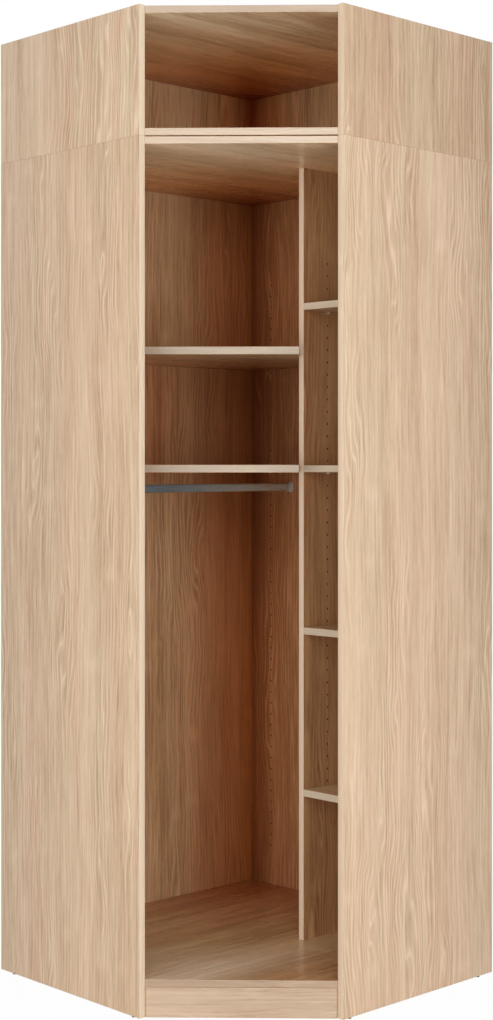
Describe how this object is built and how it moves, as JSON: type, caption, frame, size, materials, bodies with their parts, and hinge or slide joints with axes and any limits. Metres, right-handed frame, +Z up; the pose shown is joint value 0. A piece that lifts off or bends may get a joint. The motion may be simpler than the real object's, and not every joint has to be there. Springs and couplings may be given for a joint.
{
  "type": "corner wardrobe",
  "caption": "Tall open-front corner wardrobe with a stacked top box, corner shelves, a hanging rail and a shelved side bay behind a diagonal opening.",
  "frame": {"origin": "on the floor under the middle of the bounding box", "axes": "+Z up; the diagonal opening faces -Y; the rear corner is at +Y; +X to the right seen from the front"},
  "size_m": [1.272, 1.0316, 2.404],
  "materials": {
    "oak_board": "satin oak-print melamine",
    "steel_tube": "satin",
    "zinc": "zinc plated",
    "black_plastic": "matt",
    "beech": "bare"
  },
  "bodies": {
    "frame": {"lower_left_side": "oak_board", "lower_right_side": "oak_board", "lower_left_back": "oak_board", "lower_right_back": "oak_board", "lower_floor": "oak_board", "lower_top": "oak_board", "divider": "oak_board", "plinth": "oak_board", "floor_bearer": "oak_board", "plinth_block_left": "black_plastic", "plinth_block_right": "black_plastic", "fixed_corner_shelf": "oak_board", "corner_pin_side_rear": "zinc", "corner_pin_side_front": "zinc", "corner_pin_back": "zinc", "corner_pin_divider": "zinc", "bay_pin_1_rear_left": "zinc", "bay_pin_1_front_left": "zinc", "bay_pin_1_rear_right": "zinc", "bay_pin_1_front_right": "zinc", "bay_pin_2_rear_left": "zinc", "bay_pin_2_front_left": "zinc", "bay_pin_2_rear_right": "zinc", "bay_pin_2_front_right": "zinc", "bay_pin_3_rear_left": "zinc", "bay_pin_3_front_left": "zinc", "bay_pin_3_rear_right": "zinc", "bay_pin_3_front_right": "zinc", "bay_pin_4_rear_left": "zinc", "bay_pin_4_front_left": "zinc", "bay_pin_4_rear_right": "zinc", "bay_pin_4_front_right": "zinc", "rail_socket_left": "zinc", "rail_socket_right": "zinc", "socket_screw_left_0": "zinc", "socket_screw_left_1": "zinc", "socket_screw_right_0": "zinc", "socket_screw_right_1": "zinc", "glide_left_side_0": "black_plastic", "glide_left_side_1": "black_plastic", "glide_right_side_0": "black_plastic", "glide_right_side_1": "black_plastic", "glide_right_back_0": "black_plastic", "upper_left_side": "oak_board", "upper_right_side": "oak_board", "upper_left_back": "oak_board", "upper_right_back": "oak_board", "upper_floor": "oak_board", "upper_top": "oak_board", "stack_dowel_left_0": "beech", "stack_dowel_left_1": "beech", "stack_dowel_right_0": "beech", "stack_dowel_right_1": "beech"},
    "loose_corner_shelf": {"loose_corner_shelf": "oak_board"},
    "bay_shelf_1": {"bay_shelf_1": "oak_board"},
    "bay_shelf_2": {"bay_shelf_2": "oak_board"},
    "bay_shelf_3": {"bay_shelf_3": "oak_board"},
    "bay_shelf_4": {"bay_shelf_4": "oak_board"},
    "hanging_rail": {"hanging_rail": "steel_tube"}
  },
  "joints": [
    {"name": "loose_corner_shelf_lift", "type": "slide", "parent": "frame", "child": "loose_corner_shelf", "axis": [0, 0, 1], "range_m": [0, 0.27]},
    {"name": "bay_shelf_1_lift", "type": "slide", "parent": "frame", "child": "bay_shelf_1", "axis": [0, 0, 1], "range_m": [0, 0.39]},
    {"name": "bay_shelf_2_lift", "type": "slide", "parent": "frame", "child": "bay_shelf_2", "axis": [0, 0, 1], "range_m": [0, 0.39]},
    {"name": "bay_shelf_3_lift", "type": "slide", "parent": "frame", "child": "bay_shelf_3", "axis": [0, 0, 1], "range_m": [0, 0.39]},
    {"name": "bay_shelf_4_lift", "type": "slide", "parent": "frame", "child": "bay_shelf_4", "axis": [0, 0, 1], "range_m": [0, 0.34]},
    {"name": "hanging_rail_lift", "type": "slide", "parent": "frame", "child": "hanging_rail", "axis": [0, 0, 1], "range_m": [0, 0.03]}
  ]
}
